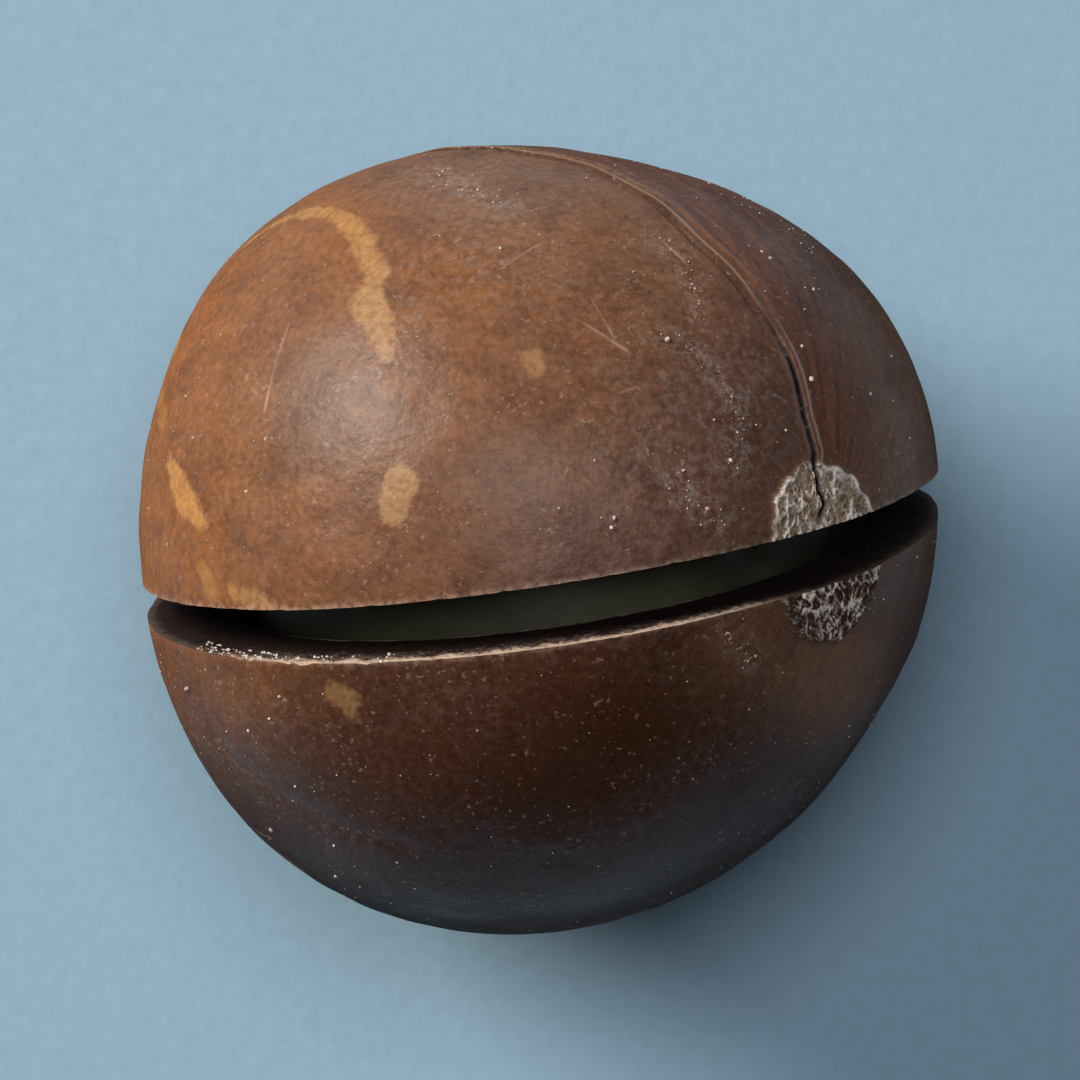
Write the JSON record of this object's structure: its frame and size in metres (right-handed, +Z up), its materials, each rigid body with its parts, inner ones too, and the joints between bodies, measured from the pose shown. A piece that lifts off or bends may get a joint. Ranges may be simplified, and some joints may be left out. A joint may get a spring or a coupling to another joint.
{
  "type": "macadamia nut in shell",
  "caption": "Round brown macadamia nut in its hard woody shell, sawn with a narrow slot that shows the loose kernel inside, resting on a small flat spot.",
  "frame": {"origin": "on the surface that the nut lies on, under the middle of its outline", "axes": "+Z up out of the resting surface; the slot runs roughly along X over the top, and the stalk scar is turned up towards +X"},
  "size_m": [0.0252, 0.025, 0.0242],
  "materials": {
    "shell": "hard woody seed coat, satin and naturally polished, with ochre flecks and pale dust",
    "kernel": "oily cream kernel with a thin tan skin"
  },
  "bodies": {
    "root": {"shell": "shell", "kernel": "kernel"}
  },
  "joints": []
}
